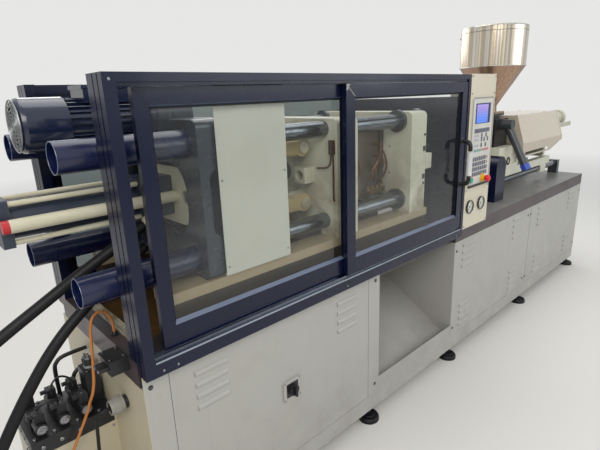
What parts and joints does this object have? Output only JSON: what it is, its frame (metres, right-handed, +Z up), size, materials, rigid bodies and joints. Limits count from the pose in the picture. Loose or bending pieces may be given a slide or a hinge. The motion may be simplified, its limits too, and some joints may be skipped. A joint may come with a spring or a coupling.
{
  "type": "injection moulding machine",
  "caption": "Horizontal toggle-clamp injection moulding machine with sliding guards, control column, screw injection unit and hopper on a welded base.",
  "frame": {"origin": "on the floor, under the middle of the box round the machine without its free cords", "axes": "+X from the clamp end to the injection end, +Y from the operator's guard to the back, +Z up"},
  "size_m": [4.9288, 0.992, 2.124],
  "materials": {
    "cream_paint": "satin",
    "brown_paint": "satin",
    "rubber_black": "matte",
    "navy_paint": "satin",
    "clear_glass": "polished",
    "pale_paint": "satin",
    "black_plastic": "matte",
    "grey_plastic": "satin",
    "green_plastic": "gloss",
    "red_plastic": "gloss",
    "chrome_bar": "polished",
    "dark_steel": "oily",
    "machined_steel": "satin",
    "black_iron": "matte",
    "orange_rubber": "matte",
    "band_steel": "matte",
    "stainless": "satin"
  },
  "bodies": {
    "machine_frame": {"base_frame": "cream_paint", "base_top": "brown_paint", "front_panels": "cream_paint", "rear_panels": "cream_paint", "levelling_feet": "rubber_black", "front_guard_frame": "navy_paint", "rear_guard_frame": "navy_paint", "rear_window": "clear_glass", "sheet_guard": "pale_paint", "control_column": "cream_paint", "controller": "grey_plastic", "pressure_gauges": "chrome_bar", "fixed_platen": "cream_paint", "tie_bars": "chrome_bar", "mould_fixed_half": "dark_steel", "hydraulic_valves": "black_iron", "sensor_cable": "orange_rubber", "gland_cable": "rubber_black", "carriage_rods": "chrome_bar", "junction_box": "navy_paint"},
    "operator_door": {"operator_door": "navy_paint", "operator_glass": "clear_glass", "door_handle": "black_plastic"},
    "left_window": {"left_window": "navy_paint", "left_glass": "clear_glass"},
    "rear_gate": {"rear_gate": "navy_paint", "rear_glass": "clear_glass"},
    "tail_platen": {"tail_platen": "navy_paint", "clamp_cylinder": "cream_paint", "crosshead_rods": "chrome_bar", "motor_body": "navy_paint", "cylinder_hose": "rubber_black", "return_hose": "rubber_black"},
    "motor_fan": {"motor_fan": "black_plastic"},
    "moving_platen": {"moving_platen": "cream_paint", "mould_moving_half": "dark_steel"},
    "ejector": {"ejector_rod": "machined_steel"},
    "crosshead": {"crosshead": "machined_steel"},
    "upper_rear_link": {"upper_rear_link": "dark_steel"},
    "lower_rear_link": {"lower_rear_link": "dark_steel"},
    "upper_front_link": {"upper_front_link": "dark_steel"},
    "lower_front_link": {"lower_front_link": "dark_steel"},
    "upper_cross_link": {"upper_cross_link": "dark_steel"},
    "lower_cross_link": {"lower_cross_link": "dark_steel"},
    "carriage": {"carriage": "cream_paint", "feed_housing": "black_iron", "barrel": "dark_steel", "heater_bands": "band_steel", "hopper": "stainless", "drain_pipe": "black_iron", "injection_cover": "cream_paint", "injection_drive": "pale_paint"},
    "screw_drive": {"screw_drive": "dark_steel"},
    "screw": {"screw": "machined_steel"},
    "hopper_lid": {"hopper_lid": "stainless"},
    "start_button": {"start_button": "green_plastic"},
    "emergency_stop": {"emergency_stop": "red_plastic"},
    "gauge_needle_a": {"gauge_needle_a": "black_plastic"},
    "gauge_needle_b": {"gauge_needle_b": "black_plastic"},
    "isolator_knob": {"isolator_knob": "black_plastic"}
  },
  "joints": [
    {"name": "door_slide", "type": "slide", "parent": "machine_frame", "child": "operator_door", "axis": [1, 0, 0], "range_m": [-0.86, 0]},
    {"name": "window_slide", "type": "slide", "parent": "machine_frame", "child": "left_window", "axis": [1, 0, 0], "range_m": [-0.047, 0.85]},
    {"name": "rear_gate_slide", "type": "slide", "parent": "machine_frame", "child": "rear_gate", "axis": [1, 0, 0], "range_m": [-0.86, 0]},
    {"name": "die_height", "type": "slide", "parent": "machine_frame", "child": "tail_platen", "axis": [1, 0, 0], "range_m": [-0.05, 0]},
    {"name": "fan_spin", "type": "hinge", "parent": "tail_platen", "child": "motor_fan", "pos_m": [-2.1485, -0.017, 1.626], "axis": [1, 0, 0], "continuous": true},
    {"name": "clamp_stroke", "type": "slide", "parent": "tail_platen", "child": "moving_platen", "axis": [1, 0, 0], "range_m": [-0.3, 0]},
    {"name": "ejector_stroke", "type": "slide", "parent": "moving_platen", "child": "ejector", "axis": [1, 0, 0], "range_m": [0, 0.06]},
    {"name": "crosshead_stroke", "type": "slide", "parent": "tail_platen", "child": "crosshead", "axis": [1, 0, 0], "range_m": [-0.1757, 0]},
    {"name": "upper_rear_hinge", "type": "hinge", "parent": "tail_platen", "child": "upper_rear_link", "pos_m": [-1.5955, -0.017, 1.468], "axis": [0, 1, 0], "range_deg": [-71.83, 0]},
    {"name": "lower_rear_hinge", "type": "hinge", "parent": "tail_platen", "child": "lower_rear_link", "pos_m": [-1.5955, -0.017, 1.218], "axis": [0, 1, 0], "range_deg": [0, 71.83]},
    {"name": "upper_front_hinge", "type": "hinge", "parent": "moving_platen", "child": "upper_front_link", "pos_m": [-1.1595, -0.017, 1.468], "axis": [0, 1, 0], "range_deg": [0, 71.83]},
    {"name": "lower_front_hinge", "type": "hinge", "parent": "moving_platen", "child": "lower_front_link", "pos_m": [-1.1595, -0.017, 1.218], "axis": [0, 1, 0], "range_deg": [-71.83, 0]},
    {"name": "upper_cross_hinge", "type": "hinge", "parent": "crosshead", "child": "upper_cross_link", "pos_m": [-1.33276, -0.017, 1.405], "axis": [0, 1, 0], "range_deg": [0, 79.6]},
    {"name": "lower_cross_hinge", "type": "hinge", "parent": "crosshead", "child": "lower_cross_link", "pos_m": [-1.33276, -0.017, 1.281], "axis": [0, 1, 0], "range_deg": [-79.6, 0]},
    {"name": "carriage_stroke", "type": "slide", "parent": "machine_frame", "child": "carriage", "axis": [1, 0, 0], "range_m": [0, 0.25]},
    {"name": "injection_stroke", "type": "slide", "parent": "carriage", "child": "screw_drive", "axis": [1, 0, 0], "range_m": [0, 0.12]},
    {"name": "screw_spin", "type": "hinge", "parent": "screw_drive", "child": "screw", "pos_m": [0.4215, -0.017, 1.343], "axis": [1, 0, 0], "continuous": true},
    {"name": "lid_hinge", "type": "hinge", "parent": "carriage", "child": "hopper_lid", "pos_m": [1.0275, 0.226, 2.064], "axis": [-1, 0, 0], "range_deg": [0, 100]},
    {"name": "start_press", "type": "slide", "parent": "machine_frame", "child": "start_button", "axis": [0, 1, 0], "range_m": [0, 0.004], "stiffness_N_per_m": 400},
    {"name": "stop_press", "type": "slide", "parent": "machine_frame", "child": "emergency_stop", "axis": [0, 1, 0], "range_m": [0, 0.005]},
    {"name": "needle_a_swing", "type": "hinge", "parent": "machine_frame", "child": "gauge_needle_a", "pos_m": [-0.05, -0.439, 1.02], "axis": [0, 1, 0], "range_deg": [0, 270]},
    {"name": "needle_b_swing", "type": "hinge", "parent": "machine_frame", "child": "gauge_needle_b", "pos_m": [0.09, -0.439, 1.02], "axis": [0, 1, 0], "range_deg": [0, 270]},
    {"name": "isolator_turn", "type": "hinge", "parent": "machine_frame", "child": "isolator_knob", "pos_m": [-1.4635, -0.413, 0.497], "axis": [0, 1, 0], "range_deg": [0, 90]}
  ],
  "couplings": [
    {"joint": "crosshead_stroke", "follows": "clamp_stroke", "ratio": 0.5853},
    {"joint": "upper_rear_hinge", "follows": "clamp_stroke", "rad_per_m": 4.178},
    {"joint": "lower_rear_hinge", "follows": "clamp_stroke", "rad_per_m": -4.178},
    {"joint": "upper_front_hinge", "follows": "clamp_stroke", "rad_per_m": -4.178},
    {"joint": "lower_front_hinge", "follows": "clamp_stroke", "rad_per_m": 4.178},
    {"joint": "upper_cross_hinge", "follows": "clamp_stroke", "rad_per_m": -4.628},
    {"joint": "lower_cross_hinge", "follows": "clamp_stroke", "rad_per_m": 4.628}
  ]
}
